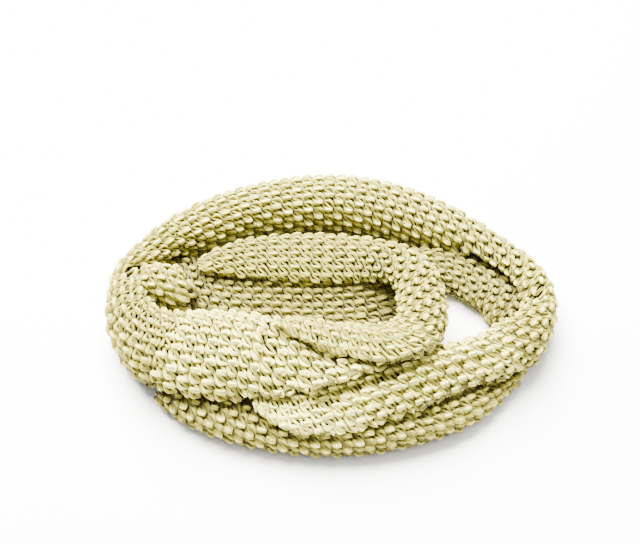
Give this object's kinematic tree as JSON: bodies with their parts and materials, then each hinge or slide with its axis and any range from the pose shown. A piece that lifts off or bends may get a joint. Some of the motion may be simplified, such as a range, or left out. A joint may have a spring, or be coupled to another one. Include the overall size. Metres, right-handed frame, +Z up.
{
  "type": "knit infinity scarf",
  "caption": "Chunky knit infinity scarf dropped in an oval heap, its loop wound twice with a slack fold hooking over the middle.",
  "frame": {"origin": "on the surface that the scarf lies on, below the middle of its bounding box", "axes": "+X to the heap's right and +Y to its back as seen from the open side of the hooked fold, +Z up from the surface"},
  "size_m": [0.3451, 0.2512, 0.0641],
  "materials": {
    "yarn": "matt chunky seed-stitch knit in pale cream-khaki yarn"
  },
  "bodies": {
    "root": {"back_outer": "yarn", "right_turn": "yarn", "left_turn": "yarn", "front_upper": "yarn", "front_outer": "yarn", "front_inner": "yarn", "inner_lower": "yarn", "inner_upper": "yarn", "hook": "yarn", "left_fold": "yarn"}
  },
  "joints": []
}
